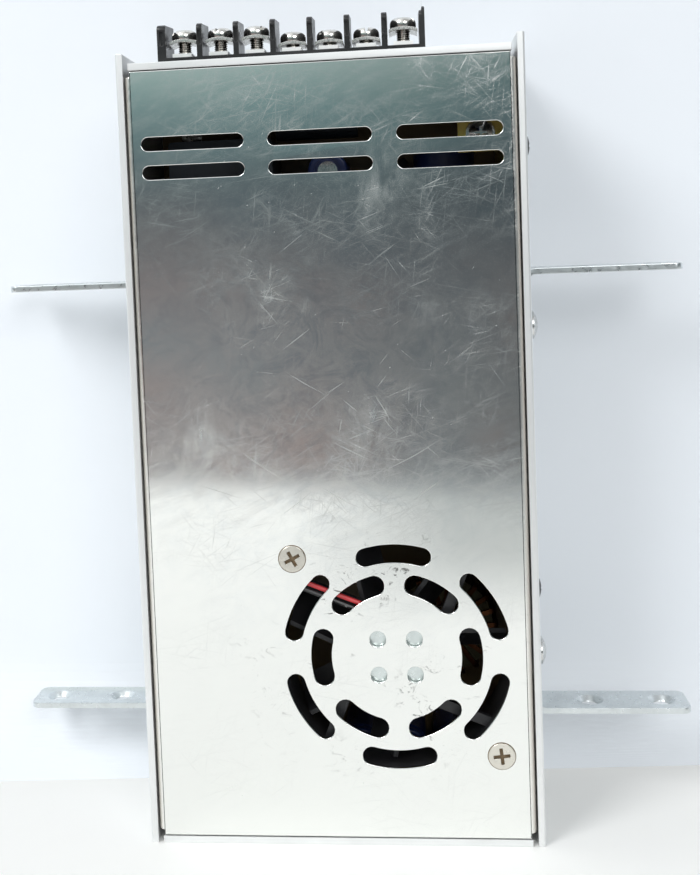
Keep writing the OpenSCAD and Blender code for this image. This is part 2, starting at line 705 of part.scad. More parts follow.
module heatsink_left() color("#c4c6c8") difference() {
    translate([-wall_in, bar_front, bar_left_z]) cube([bar_t, bar_depth, bar_left_l]);
    for (z = [bar_left_z + 10, bar_left_z + bar_left_l - 10]) on_wall(-1, bar_front + 5, z)
        translate([0, 0, -sheet_t - bar_t - over])
            cylinder(r = wall_screw_r + screw_clear, h = bar_t + 2 * over);
    for (z = switch_z) device_bore(-1, z);
}

// the right bar turns inwards beside the terminals and carries a pad under the upper slots
pad_w = 11;
pad_l = 9;
pad_z0 = bar_right_z + bar_right_l - pad_l;
module at_pad_screw() translate([wall_in - bar_t - pad_w / 2, bar_front, pad_z0 + pad_l / 2])
    rotate([90, 0, 0]) children();

module heatsink_right() color("#c4c6c8") difference() {
    union() {
        translate([wall_in - bar_t, bar_front, bar_right_z]) cube([bar_t, bar_depth, bar_right_l]);
        translate([wall_in - bar_t - pad_w, bar_front, pad_z0]) cube([pad_w + 1, 2.4, pad_l]);
    }
    for (z = [wall_screw_low_z, wall_screw_high_z]) on_wall(1, wall_screw_y, z)
        translate([0, 0, -sheet_t - bar_t - over])
            cylinder(r = wall_screw_r + screw_clear, h = bar_t + 2 * over);
    for (z = rectifier_z) device_bore(1, z);
    at_pad_screw() translate([0, 0, -3]) cylinder(r = m3_r + screw_clear, h = 4);
}

// place of a device's screw: local z points from the wall into the case
module at_device(side, z) translate([side * (wall_in - bar_t), device_front + 4, z])
    rotate([0, -side * 90, 0]) children();

module device_bore(side, z) at_device(side, z) translate([0, 0, -bar_t - over])
    cylinder(r = m3_r + screw_clear, h = bar_t + 2 * over);

module switching_transistors() color("#1e1e20") for (z = switch_z)
    translate([-(wall_in - bar_t), device_front + 4, z]) rotate([90, 0, 90]) upright_device();

module output_rectifiers() color("#1e1e20") for (z = rectifier_z)
    translate([wall_in - bar_t, device_front + 4, z]) rotate([90, 0, 90]) mirror([0, 0, 1]) upright_device();

// local x runs to the board, y along the case, z away from the bar
module upright_device() {
    difference() {
        translate([-4, -device_w / 2, 0]) cube([device_l, device_w, 1.3]);
        translate([0, 0, -over]) cylinder(r = m3_r + 0.2, h = 3);
    }
    translate([3.4, -device_w / 2, 0]) cube([device_l - 7.4, device_w, device_t]);
    for (k = [-1, 0, 1]) translate([device_l - 4.5, k * 2.54 - 0.4, 2.2])
        cube([20 - device_l + 4.5, 0.8, 0.5]);
}

bridge_l = 25;
bridge_h = 20;
bridge_t = 4.6;
bridge_end_gap = 13;
module bridge_rectifier() color("#222326")
    translate([bar_t - wall_in, device_front, bar_left_z + bar_left_l - bridge_end_gap - bridge_l])
        cube([bridge_t, bridge_h, bridge_l]);

module device_screws() color("#d0d2d4") {
    for (z = switch_z) at_device(-1, z) translate([0, 0, 1.3]) pan_screw(2.7, 1.8, m3_r, bar_t + 1);
    for (z = rectifier_z) at_device(1, z) translate([0, 0, 1.3]) pan_screw(2.7, 1.8, m3_r, bar_t + 1);
    at_pad_screw() {
        translate([0, 0, 0.8]) pan_screw(2.9, 2, m3_r, 3.1);
        difference() {
            cylinder(r = 3.6, h = 0.8);
            translate([0, 0, -over]) cylinder(r = m3_r, h = 2);
        }
    }
    for (z = [bar_left_z + 10, bar_left_z + bar_left_l - 10]) on_wall(-1, bar_front + 5, z)
        flat_screw(wall_screw_r + 0.15, wall_screw_r, 0.3, sheet_t + bar_t);
}

// can capacitor with a rolled edge and a scored top; it stands on z = 0
module can_capacitor(r, h) rotate_extrude() difference() {
    square([r, h]);
    translate([r, h]) mirror([1, 1]) corner_cut(0.8);
    translate([r + 0.7, h - 2.6]) circle(1.1, $fn = 32);
    translate([-1, h - 0.5]) square([r - 0.6, 1]);
}

storage_room = wall_in + fan_x - fan_w / 2;
storage_r = storage_room / 2 - storage_gap;
storage_x = storage_room / 2 - wall_in;
storage_z = 31.5;
module storage_capacitors() color("#1d2b44") for (k = [0, 1])
    on_board(storage_x, storage_z + k * (2 * storage_r + 1.5)) can_capacitor(storage_r, storage_h);

lying_x = wall_in - bar_t - 14;
lying_end = bar_right_z + bar_right_l - 8;
varistor_r = 7.4;
varistor_t = 3.6;
varistor_x = lying_x - 16.2;
module lying_capacitor() color("#1c2c55") translate([lying_x, board_front - lying_r, lying_end])
    mirror([0, 0, 1]) can_capacitor(lying_r, lying_l);

module output_capacitors() color("#22324f") {
    for (k = [0:3]) on_board(-8 + k * (2 * output_cap_r + 2), 16) can_capacitor(output_cap_r, output_cap_h);
    on_board(varistor_x - 13.5, flap_in - 26) can_capacitor(output_cap_r, output_cap_h + 10);
}

transformer_x = 1;
transformer_z = 106;
leg_w = core_w * 0.14;
window = (core_w - 4 * leg_w) / 2;

module transformer_core() color("#35353a") on_board(transformer_x, transformer_z)
    translate([0, 0, core_mid_h]) difference() {
        cube([core_w, core_l, core_t], center = true);
        for (x = [-1, 1]) translate([x * (leg_w + window / 2), 0, 0])
            cube([window, core_l - 2 * leg_w, core_t + 2], center = true);
    }

winding_l = core_l - 2 * leg_w - 4;
former_w = 2 * leg_w + 1.8;
former_h = core_t + 1.8;
module transformer_bobbin() color("#16181a") on_board(transformer_x, transformer_z) {
    for (s = [-1, 1]) translate([0, s * (winding_l / 2 + 0.9), core_mid_h]) difference() {
        cube([2 * leg_w + 2 * window - 1.2, 1.8, core_t + 14], center = true);
        cube([2 * leg_w + 0.4, 3, core_t + 0.4], center = true);
    }
    translate([0, winding_l / 2 + 0.1, core_mid_h]) rotate([90, 0, 0])
        linear_extrude(winding_l + 0.2) difference() {
            square([former_w, former_h], center = true);
            square([2 * leg_w + 0.4, core_t + 0.4], center = true);
        }
    for (s = [-1, 1]) translate([-(core_w - 8) / 2, s * (core_l / 2 + 2.4) - 2, 0])
        cube([core_w - 8, 4, core_mid_h - core_t / 2 - 0.2]);
    for (s = [-1, 1]) translate([-(core_w - 8) / 2, s * (winding_l / 2 + 0.9) - 0.9, 2])
        cube([core_w - 8, 1.8, 3]);
    for (s = [-1, 1]) translate([-(core_w - 8) / 2, s > 0 ? winding_l / 2 : -core_l / 2 - 4.4, 2])
        cube([core_w - 8, core_l / 2 + 4.4 - winding_l / 2, 2]);
}

module transformer_winding() color("#d8b12a") on_board(transformer_x, transformer_z)
    translate([0, winding_l / 2 - 0.1, core_mid_h]) rotate([90, 0, 0]) linear_extrude(winding_l - 0.2)
        difference() {
            rounded_plate(2 * leg_w + 2 * window - 2.4, core_t + 10, 4);
            square([former_w + 0.1, former_h + 0.1], center = true);
        }

choke_x = bar_t + 20.7 - wall_in;
choke_z = flap_in - 50;
choke_ring_w = 5.4;
choke_ring_t = 8;
module at_choke() on_board(choke_x, choke_z) translate([0, 0, choke_ring_r]) rotate([90, 0, 0]) children();

module choke_core() color("#2d3033") at_choke() rotate_extrude()
    translate([choke_ring_r - choke_ring_w, -choke_ring_t / 2]) square([choke_ring_w, choke_ring_t]);

// two coils on the standing ring, each a stack of turns
module choke_coils() color("#a65a2a") at_choke() for (half = [0, 180], k = [-4:4])
    rotate(half + k * 11) translate([choke_ring_r - choke_ring_w / 2, 0, 0])
        turn_of_wire(choke_ring_w / 2, choke_ring_t / 2, 0.5);

// one turn of wire round the square section of a ring
module turn_of_wire(half_w, half_h, r) rotate([90, 0, 0]) linear_extrude(2 * r, center = true)
    difference() {
        rounded_plate(2 * half_w + 0.3 + 4 * r, 2 * half_h + 0.3 + 4 * r, 2 * r);
        square([2 * half_w + 0.3, 2 * half_h + 0.3], center = true);
    }

inductor_x = wall_in - bar_t - 17.7;
inductor_z = 46;
inductor_half = 4.2;
module inductor_core() color("#c2b23c") on_board(inductor_x, inductor_z)
    translate([0, 0, inductor_half + 2 * inductor_wire_r + 0.15]) rotate_extrude()
        translate([inductor_ring_r - 6.4, -inductor_half]) square([6.4, 2 * inductor_half]);

module inductor_coil() color("#b0602c") on_board(inductor_x, inductor_z)
    translate([0, 0, inductor_half + 2 * inductor_wire_r + 0.15]) for (k = [0:inductor_turns - 1])
        rotate(k * 340 / inductor_turns) translate([inductor_ring_r - 3.2, 0, 0])
            turn_of_wire(3.2, inductor_half, inductor_wire_r);

film_side_gap = 7.2;
film_mid_gap = 13.5;
film_w = wall_in - film_side_gap - film_mid_gap;
film_h = 24;
module film_capacitor() color("#2b3f63") on_board(-film_mid_gap - film_w / 2, flap_in - 22)
    linear_extrude(film_h) rounded_plate(film_w, 11, 1);

fuse_x = -3;
fuse_l = 22;
module fuse() color("#e9e2cf") {
    on_board(fuse_x, flap_in - 13.4) translate([-fuse_l / 2, 0, 5]) rotate([0, 90, 0])
        cylinder(r = 2.6, h = fuse_l);
    for (end = [-1, 1]) on_board(fuse_x + end * (fuse_l / 2 - 2), flap_in - 13.4)
        translate([-1.2, -2.3, 0]) cube([2.4, 4.6, 2.5]);
}

module varistor() color("#3d4046") on_board(varistor_x, flap_in - 27) rotate(25)
    translate([0, varistor_t / 2, varistor_r]) rotate([90, 0, 0]) cylinder(r = varistor_r, h = varistor_t);

// trimmer and indicator lamp face the terminal end
lamp_r = 1.5;
lamp_x = block_x + block_w + 13;
lamp_y = block_front + 8;
trimmer_x = block_x + block_w + 6;
trimmer_y = lamp_y + 6;
trimmer_top = flap_in - 1.2;

module trimmer_body() color("#2a5db0") difference() {
    union() {
        translate([trimmer_x - 3.4, trimmer_y - 3.5, trimmer_top - 4.4]) cube([6.8, 7, 4.4]);
        translate([trimmer_x - 2.8, trimmer_y + 3.4, trimmer_top - 4])
            cube([5.6, board_front - trimmer_y - 3.4, 1.6]);
    }
    translate([trimmer_x, trimmer_y, trimmer_top - 2.2]) cylinder(r = 2.25, h = 5);
    translate([trimmer_x, trimmer_y, trimmer_top - 3.6]) cylinder(r = 1.05, h = 5);
}

module trimmer_rotor() color("#e6e2d6") translate([trimmer_x, trimmer_y, trimmer_top]) difference() {
    union() {
        translate([0, 0, -1.9]) cylinder(r = 2.2, h = 2.3);
        translate([0, 0, -3.3]) cylinder(r = 1, h = 1.6);
    }
    translate([-1.7, -0.4, -0.6]) cube([3.4, 0.8, 2]);
}

module indicator_lamp() color("#3fae49") translate([lamp_x, lamp_y, 0]) {
    translate([0, 0, flap_in - 3.4]) cylinder(r = lamp_r, h = 6);
    translate([0, 0, flap_in + 2.6]) sphere(r = lamp_r);
    translate([0, 0, flap_in - 4.4]) cylinder(r = lamp_r + 0.4, h = 1.1);
    for (x = [-1.27, 1.27]) translate([x - 0.25, -0.25, flap_in - 6.5]) cube([0.5, 0.5, 2.3]);
    for (x = [-1.27, 1.27]) translate([x - 0.25, -0.25, flap_in - 6.5])
        cube([0.5, board_front - lamp_y + 0.25, 0.5]);
}

chassis();
cover();
cover_screws();
wall_screws();
brace_lower_left();
brace_lower_right();
brace_upper_left();
brace_upper_right();
brace_screws();
fan_frame();
fan_disc();
fan_bearing();
fan_stator();
fan_rotor();
fan_screws();
fan_wires();
fan_plug();
terminal_block();
terminal_contacts();
terminal_board();
terminal_screw(0);  // terminal_screw_1
terminal_screw(1);  // terminal_screw_2
terminal_screw(2);  // terminal_screw_3
terminal_screw(3);  // terminal_screw_4
terminal_screw(4);  // terminal_screw_5
terminal_screw(5);  // terminal_screw_6
terminal_screw(6);  // terminal_screw_7
terminal_clamp(0);  // terminal_clamp_1
terminal_clamp(1);  // terminal_clamp_2
terminal_clamp(2);  // terminal_clamp_3
terminal_clamp(3);  // terminal_clamp_4
terminal_clamp(4);  // terminal_clamp_5
terminal_clamp(5);  // terminal_clamp_6
terminal_clamp(6);  // terminal_clamp_7
circuit_board();
board_standoffs();
board_screws();
insulating_sheet();
heatsink_left();
heatsink_right();
switching_transistors();
bridge_rectifier();
output_rectifiers();
device_screws();
storage_capacitors();
lying_capacitor();
output_capacitors();
transformer_core();
transformer_bobbin();
transformer_winding();
choke_core();
choke_coils();
inductor_core();
inductor_coil();
film_capacitor();
fuse();
varistor();
trimmer_body();
trimmer_rotor();
indicator_lamp();
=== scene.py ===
"""Switching power supply in a slotted aluminium case, with fan grille, screw terminals and four braces."""

import math

import bpy
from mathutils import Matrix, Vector


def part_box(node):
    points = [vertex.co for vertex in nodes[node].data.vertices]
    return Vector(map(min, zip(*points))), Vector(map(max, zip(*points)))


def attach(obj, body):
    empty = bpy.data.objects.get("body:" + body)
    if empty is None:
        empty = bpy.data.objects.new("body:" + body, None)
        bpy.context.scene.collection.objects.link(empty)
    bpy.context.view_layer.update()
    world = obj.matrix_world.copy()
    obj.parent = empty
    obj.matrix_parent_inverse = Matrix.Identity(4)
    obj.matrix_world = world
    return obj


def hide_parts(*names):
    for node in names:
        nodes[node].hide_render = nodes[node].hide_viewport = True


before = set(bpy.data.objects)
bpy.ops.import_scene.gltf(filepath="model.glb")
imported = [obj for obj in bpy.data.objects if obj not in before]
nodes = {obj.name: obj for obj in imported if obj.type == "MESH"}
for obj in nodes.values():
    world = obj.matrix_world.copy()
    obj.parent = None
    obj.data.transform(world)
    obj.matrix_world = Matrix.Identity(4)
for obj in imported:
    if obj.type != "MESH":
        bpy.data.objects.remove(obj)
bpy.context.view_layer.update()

MM = 0.001

CAMERA_PLACE = (0.01958, -0.32633, 0.15254)
CAMERA_TURN = (86.277, 2.307, 6.059)
CAMERA_LENS = 50.97
CAMERA_SHIFT = (0.0888, -0.1357)
LAMPS = (
    ("key", (-0.95, -1.05, 1.3), 15.5),
    ("fill", (0.5, -1.4, 0.8), 6),
)
LAMP_AIM = (0, 0, 0.1)
LAMP_SIZE = 0.8
STAGE_WIDTH = 3.0
TABLE_DEPTH = 1.70
TABLE_BACK = 1.2
CASE_FRONT = 0.025
WALL_HEIGHT = 1.5
WALL_GAP = 2 * MM
WALL_FOOT = 16.5 * MM
WALL_SLANT = 0.069
WALL_CURL = 30 * MM
CURL_REACH = 0.4
NEAR_GLOSS = 0.012

POLES = 7
HEAD_R = 3.25 * MM
HEAD_H = 2.5 * MM
TERMINAL_SHANK_R = 1.7 * MM
BARRIER_RISE = 10.1 * MM
PANEL_HALF_WIDTH = 0.4 * MM
PANEL_DEPTH = 0.55 * MM
PANEL_HEIGHTS = (3.0 * MM, 6.5 * MM)
FAN_HEAD_R = 3.3 * MM
FAN_SHANK_R = 2.1 * MM
FAN_CROSS = (0.85 * MM, 4.1 * MM)
CONE_H = 1.2 * MM


# --- camera, table, wall and light -----------------------------------------

def add_camera():
    camera_data = bpy.data.cameras.new("camera")
    camera_data.lens = CAMERA_LENS
    camera_data.shift_x, camera_data.shift_y = CAMERA_SHIFT
    camera = bpy.data.objects.new("camera", camera_data)
    camera.location = CAMERA_PLACE
    camera.rotation_euler = [math.radians(turn) for turn in CAMERA_TURN]
    bpy.context.scene.collection.objects.link(camera)
    bpy.context.scene.camera = camera
    bpy.context.scene.view_settings.view_transform = "Standard"


def add_lamp(name, place, power):
    lamp_data = bpy.data.lights.new(name, "AREA")
    lamp_data.shape = "DISK"
    lamp_data.size = LAMP_SIZE
    lamp_data.energy = power
    lamp = bpy.data.objects.new(name, lamp_data)
    lamp.location = place
    lamp.rotation_euler = (Vector(LAMP_AIM) - Vector(place)).to_track_quat("-Z", "Y").to_euler()
    bpy.context.scene.collection.objects.link(lamp)


def add_table(finish):
    bpy.ops.mesh.primitive_plane_add(size=1, location=(0, TABLE_BACK - TABLE_DEPTH / 2, 0))
    table = bpy.context.object
    table.name = "table"
    table.scale = (STAGE_WIDTH, TABLE_DEPTH, 1)
    table.data.materials.append(finish)


ROOM_LIGHT = 0.60
MATT_LIGHT = (0.97, 0.985, 1.0)
SEEN_LIGHT = (0.90, 0.935, 0.965)
ROOM_WARM = (1.30, 0.98, 0.90)
ROOM_DIM = (1.12, 0.58)
SIDE_SHADE = 0.10
EDGE_SHADE = 0.14
ROOM_STOPS = (
    (0.0, (0.62, 0.64, 0.66)), (0.30, (0.255, 0.28, 0.295)), (0.38, (0.205, 0.23, 0.243)),
    (0.44, (0.168, 0.193, 0.21)), (0.485, (0.110, 0.145, 0.166)), (0.53, (0.074, 0.108, 0.128)),
    (0.59, (0.104, 0.192, 0.21)), (0.62, (0.21, 0.33, 0.325)), (0.66, (0.45, 0.55, 0.54)),
    (0.78, (0.80, 0.86, 0.86)), (1.0, (0.95, 0.98, 1.0)),
)


def add_room():
    """Pale light for matt surfaces; shiny ones see a room darkest at eye height."""
    world = bpy.data.worlds.new("room")
    world.use_nodes = True
    bpy.context.scene.world = world
    links = world.node_tree.links
    world.node_tree.nodes.clear()
    direction = add_node(world, "ShaderNodeTexCoord").outputs["Generated"]
    parts = add_node(world, "ShaderNodeSeparateXYZ", (), [(0, direction)]).outputs
    aside = combine(world, "ABSOLUTE", parts["X"], 0.0)
    lean = plus(world, times(world, parts["X"], SIDE_SHADE), times(world, aside, EDGE_SHADE))
    height = remap(world, combine(world, "SUBTRACT", parts["Z"], lean), -0.5, 0.5)
    ramp = add_node(world, "ShaderNodeValToRGB", (), [(0, height)])
    stops = ramp.color_ramp.elements
    for stop, (position, colour) in zip(stops, (ROOM_STOPS[0], ROOM_STOPS[-1])):
        stop.position, stop.color = position, (*colour, 1)
    for position, colour in ROOM_STOPS[1:-1]:
        stops.new(position).color = (*colour, 1)
    matt = add_node(world, "ShaderNodeBackground", [("Color", (*MATT_LIGHT, 1)), ("Strength", ROOM_LIGHT)])
    seen = add_node(world, "ShaderNodeBackground", [("Color", (*SEEN_LIGHT, 1))])
    warm = add_node(world, "ShaderNodeVectorMath", [(1, ROOM_WARM)], [(0, ramp.outputs[0])])
    warm.operation = "MULTIPLY"
    patches = cloud(world, direction, 15.0, 5.0, 0.65)
    patches = combine(world, "SUBTRACT", patches, times(world, parts["X"], 0.4))
    low_down = remap(world, parts["Z"], 0.16, 0.02)
    patches = times(world, remap(world, patches, 0.46, 0.58), low_down)
    room = mix_colours(world, patches, ramp.outputs[0], warm.outputs[0])
    dim = remap(world, parts["X"], -0.16, 0.10, *ROOM_DIM)
    shiny = add_node(world, "ShaderNodeBackground", (), [("Color", room), ("Strength", dim)])
    rays = add_node(world, "ShaderNodeLightPath").outputs
    result = matt.outputs[0]
    for ray, light in (("Is Glossy Ray", shiny), ("Is Camera Ray", seen)):
        mix = add_node(world, "ShaderNodeMixShader", (), [(0, rays[ray]), (1, result), (2, light.outputs[0])])
        result = mix.outputs[0]
    links.new(result, add_node(world, "ShaderNodeOutputWorld").inputs[0])


# --- finishes -----------------------------------------------------------------

def new_finish(name, colour, metal, rough):
    finish = bpy.data.materials.new(name)
    finish.use_nodes = True
    finish.diffuse_color = (*colour, 1)
    shader = finish.node_tree.nodes["Principled BSDF"]
    shader.inputs["Base Color"].default_value = (*colour, 1)
    shader.inputs["Metallic"].default_value = metal
    shader.inputs["Roughness"].default_value = rough
    return finish


def add_node(finish, kind, values=(), links=()):
    """A shader node with its sockets set by name or number and fed by the given outputs."""
    node = finish.node_tree.nodes.new(kind)
    for socket, value in values:
        node.inputs[socket].default_value = value
    for socket, source in links:
        finish.node_tree.links.new(source, node.inputs[socket])
    return node


def place_on(finish, scale, turn=(0, 0, 0)):
    position = add_node(finish, "ShaderNodeTexCoord").outputs["Object"]
    turned = add_node(finish, "ShaderNodeMapping", [("Rotation", turn)], [("Vector", position)])
    scaled = add_node(finish, "ShaderNodeMapping", [("Scale", scale)], [("Vector", turned.outputs[0])])
    return scaled.outputs[0]


def cloud(finish, where, scale=1.0, detail=4.0, rough=0.55, twist=0.0):
    noise = add_node(finish, "ShaderNodeTexNoise",
                     [("Scale", scale), ("Detail", detail), ("Roughness", rough), ("Distortion", twist)],
                     [("Vector", where)])
    return noise.outputs["Fac"]


def remap(finish, value, low, high, to_low=0.0, to_high=1.0):
    node = add_node(finish, "ShaderNodeMapRange",
                    [("From Min", low), ("From Max", high), ("To Min", to_low), ("To Max", to_high)],
                    [("Value", value)])
    return node.outputs[0]


def combine(finish, how, first, second):
    node = add_node(finish, "ShaderNodeMath")
    node.operation = how
    for socket, value in enumerate((first, second)):
        if isinstance(value, (int, float)):
            node.inputs[socket].default_value = value
        else:
            finish.node_tree.links.new(value, node.inputs[socket])
    return node.outputs[0]


def times(finish, first, second):
    return combine(finish, "MULTIPLY", first, second)


def plus(finish, first, second):
    return combine(finish, "ADD", first, second)


def mix_colours(finish, share, first, second):
    mix = add_node(finish, "ShaderNodeMix")
    mix.data_type = "RGBA"
    finish.node_tree.links.new(share, mix.inputs[0])
    for socket, colour in ((6, first), (7, second)):
        if isinstance(colour, tuple):
            mix.inputs[socket].default_value = (*colour, 1)
        else:
            finish.node_tree.links.new(colour, mix.inputs[socket])
    return mix.outputs[2]


def feed(finish, socket, source):
    shader = finish.node_tree.nodes["Principled BSDF"]
    finish.node_tree.links.new(source, shader.inputs[socket])


def add_bump(finish, height, depth, strength):
    bump = add_node(finish, "ShaderNodeBump",
                    [("Distance", depth), ("Strength", strength)], [("Height", height)])
    feed(finish, "Normal", bump.outputs[0])


def scratches(finish, turns, length, width, low, high, spread=0.0):
    """Fine straight marks: one thin stretched cloud for each direction, cut off near its peaks."""
    marks = None
    for turn in turns:
        where = place_on(finish, (1 / length, 1 / length, 1 / width), (0, math.radians(turn), 0))
        lines = remap(finish, cloud(finish, where, 1.0, 1.0, 0.4, spread), low, high)
        marks = lines if marks is None else combine(finish, "MAXIMUM", marks, lines)
    return marks


def streaks(finish, angle, length, width, low, high):
    """Fine soft-ended marks at one angle on the front: the peaks of a cloud drawn out along it."""
    where = place_on(finish, (1 / length, 1 / width, 1 / length), (math.radians(90), 0, math.radians(angle)))
    return remap(finish, cloud(finish, where, 1.0, 1.5, 0.5, 0.7), low, high)


def strongest(finish, layers):
    marks = layers[0]
    for lines in layers[1:]:
        marks = combine(finish, "MAXIMUM", marks, lines)
    return marks


def spot(finish, x, z, radius):
    """One at a place on the front, falling off to nothing at the radius."""
    away = add_node(finish, "ShaderNodeVectorMath", [(1, (-x, 0.0, -z))], [(0, place_on(finish, (1, 1, 1)))])
    spread = add_node(finish, "ShaderNodeMapping", [("Scale", (1 / radius, 0.001, 1 / radius))],
                      [("Vector", away.outputs[0])])
    ball = add_node(finish, "ShaderNodeTexGradient", (), [("Vector", spread.outputs[0])])
    ball.gradient_type = "QUADRATIC_SPHERE"
    return ball.outputs["Fac"]


def dashes(finish, angle, length, spacing, sway):
    """Sparse tapered marks at one angle on the front, all in millimetres; the sway bends them."""
    reach = 0.11 / spacing
    across = spacing * MM
    where = place_on(finish, (2 * reach / (length * MM), 1 / across, 1),
                     (math.radians(90), 0, math.radians(angle)))
    wave = times(finish, cloud(finish, place_on(finish, (30, 30, 30)), 1.0, 1.0), sway / spacing)
    shift = add_node(finish, "ShaderNodeCombineXYZ", (), [("Y", wave)])
    bent = add_node(finish, "ShaderNodeVectorMath", (), [(0, where), (1, shift.outputs[0])])
    cells = add_node(finish, "ShaderNodeTexVoronoi", [("Scale", 1.0)], [("Vector", bent.outputs[0])])
    cells.voronoi_dimensions = "2D"
    return remap(finish, cells.outputs["Distance"], reach, 0.3 * reach)


def in_patches(finish, marks, patch, low, high):
    kept = remap(finish, cloud(finish, place_on(finish, (patch, patch, patch)), 1.0, 2.0), low, high)
    return times(finish, marks, kept)


def handling_dirt(finish):
    """Dark rubbed flecks and smears round the fan grille."""
    fan = middle_of("fan_frame")
    near = spot(finish, fan.x - 5 * MM, fan.z + 4 * MM, 46 * MM)
    flecks = remap(finish, cloud(finish, place_on(finish, (250, 250, 340)), 1.0, 3.0, 0.7, 1.2), 0.585, 0.66)
    rubbed = remap(finish, cloud(finish, place_on(finish, (70, 70, 70)), 1.0, 2.0), 0.47, 0.60)
    dark = times(finish, flecks, rubbed)
    return times(finish, dark, times(finish, near, 2.8))


COVER_TONE = (0.90, 0.91, 0.885)
COVER_FOLD = 46.2 * MM
FINE_MARKS = (
    (8, 15, 0.42), (-27, 12, 0.38), (36, 13, 0.42), (63, 10, 0.42), (-52, 12, 0.40),
    (84, 10, 0.40), (-11, 20, 0.36), (21, 17, 0.36),
)
LONG_MARKS = (
    (7, 22, 6, 4), (-31, 17, 6, 9), (25, 20, 6, 6), (-12, 15, 5, 10), (38, 12, 5, 5), (-58, 10, 5, 5),
)
SHORT_MARKS = (
    (14, 7, 3.0, 2), (52, 6, 3.2, 2), (-42, 7, 3.2, 2), (78, 5, 3.4, 1), (-5, 9, 3.2, 2), (31, 8, 2.8, 2),
)
HAZE = ((-15, 139, 46), (9, 109, 38), (17, 162, 34), (-30, 104, 32), (30, 130, 34))


def cover_aluminium():
    """Bright sheet dulled by scratches, nicks, wiped haze and dirt, duller still along its folds."""
    finish = new_finish("cover_aluminium", COVER_TONE, 1.0, 0.12)
    fine = in_patches(finish, strongest(finish, [
        streaks(finish, turn, length * MM, width * MM, 0.60, 0.80) for turn, length, width in FINE_MARKS]),
        50, 0.40, 0.60)
    long, short = (in_patches(finish, strongest(finish, [dashes(finish, *layer) for layer in layers]), *patch)
                   for layers, patch in ((LONG_MARKS, (26, 0.30, 0.50)), (SHORT_MARKS, (42, 0.40, 0.56))))
    worn = plus(finish, spot(finish, 0, 112 * MM, 95 * MM), 0.10)
    long = times(finish, strongest(finish, [long, times(finish, short, 0.65)]), worn)
    nicks = in_patches(finish, strongest(finish, [
        dashes(finish, 10, 0.5, 5, 0), dashes(finish, 60, 1.2, 5, 0)]), 60, 0.52, 0.7)
    marks = strongest(finish, [times(finish, fine, 0.42), long, nicks])
    mottle = cloud(finish, place_on(finish, (200, 200, 200)), 1.0, 6.0, 0.75, 0.8)
    mottle = remap(finish, mottle, 0.44, 0.72)
    haze = strongest(finish, [spot(finish, x * MM, z * MM, radius * MM) for x, z, radius in HAZE])
    swirl = cloud(finish, place_on(finish, (95, 95, 70)), 1.0, 7.0, 0.72, 1.2)
    swirl = remap(finish, swirl, 0.36, 0.68)
    rubbed = cloud(finish, place_on(finish, (70, 1, 260), (0, math.radians(24), 0)), 1.0, 6.0, 0.7, 0.8)
    rubbed = remap(finish, rubbed, 0.42, 0.78)
    wiped = strongest(finish, [
        times(finish, times(finish, swirl, haze), 0.6),
        times(finish, rubbed, 0.30), times(finish, mottle, 0.10)])
    rough = plus(finish, times(finish, marks, 0.38), times(finish, wiped, 0.34))
    place = add_node(finish, "ShaderNodeSeparateXYZ", (), [(0, place_on(finish, (1, 1, 1)))]).outputs
    aside = combine(finish, "ABSOLUTE", place["X"], 0.0)
    fold = remap(finish, aside, COVER_FOLD - 0.3 * MM, COVER_FOLD + 0.5 * MM)
    rough = plus(finish, rough, times(finish, fold, 0.30))
    feed(finish, "Roughness", plus(finish, rough, 0.085))
    stain = cloud(finish, place_on(finish, (110, 110, 130)), 1.0, 7.0, 0.75, 1.5)
    stain = remap(finish, stain, 0.44, 0.64)
    stain = times(finish, times(finish, stain, spot(finish, 0, 125 * MM, 110 * MM)), 0.8)
    tone = mix_colours(finish, stain, COVER_TONE, (0.62, 0.67, 0.70))
    tone = mix_colours(finish, marks, tone, (0.80, 0.81, 0.79))
    tone = mix_colours(finish, fold, tone, (0.80, 0.77, 0.72))
    feed(finish, "Base Color", mix_colours(finish, handling_dirt(finish), tone, (0.22, 0.22, 0.21)))
    return finish


def sheet_aluminium(name, colour, rough):
    finish = new_finish(name, colour, 0.82, rough)
    grain = cloud(finish, place_on(finish, (260, 260, 2600)), 1.0, 3.0)
    patches = cloud(finish, place_on(finish, (40, 40, 25)), 1.0, 5.0, 0.6)
    marks = scratches(finish, (14, -38, 71), 12 * MM, 0.2 * MM, 0.72, 0.77)
    rough_by = plus(finish, remap(finish, patches, 0.3, 0.7, rough - 0.05, rough + 0.09),
                       times(finish, marks, 0.2))
    feed(finish, "Roughness", rough_by)
    darker = tuple(0.88 * part for part in colour)
    feed(finish, "Base Color", mix_colours(finish, remap(finish, patches, 0.35, 0.75), colour, darker))
    add_bump(finish, plus(finish, grain, times(finish, marks, 0.6)), 0.012 * MM, 0.4)
    return finish


def plated_metal(name, colour, rough, grain):
    finish = new_finish(name, colour, 1.0, rough)
    spangle = cloud(finish, place_on(finish, (grain, grain, grain)), 1.0, 3.0, 0.6)
    stain = cloud(finish, place_on(finish, (120, 120, 120)), 1.0, 5.0, 0.65)
    feed(finish, "Roughness", remap(finish, spangle, 0.3, 0.7, rough - 0.06, rough + 0.10))
    dull = tuple(0.85 * part for part in colour)
    feed(finish, "Base Color", mix_colours(finish, remap(finish, stain, 0.45, 0.75), colour, dull))
    add_bump(finish, spangle, 0.015 * MM, 0.4)
    return finish


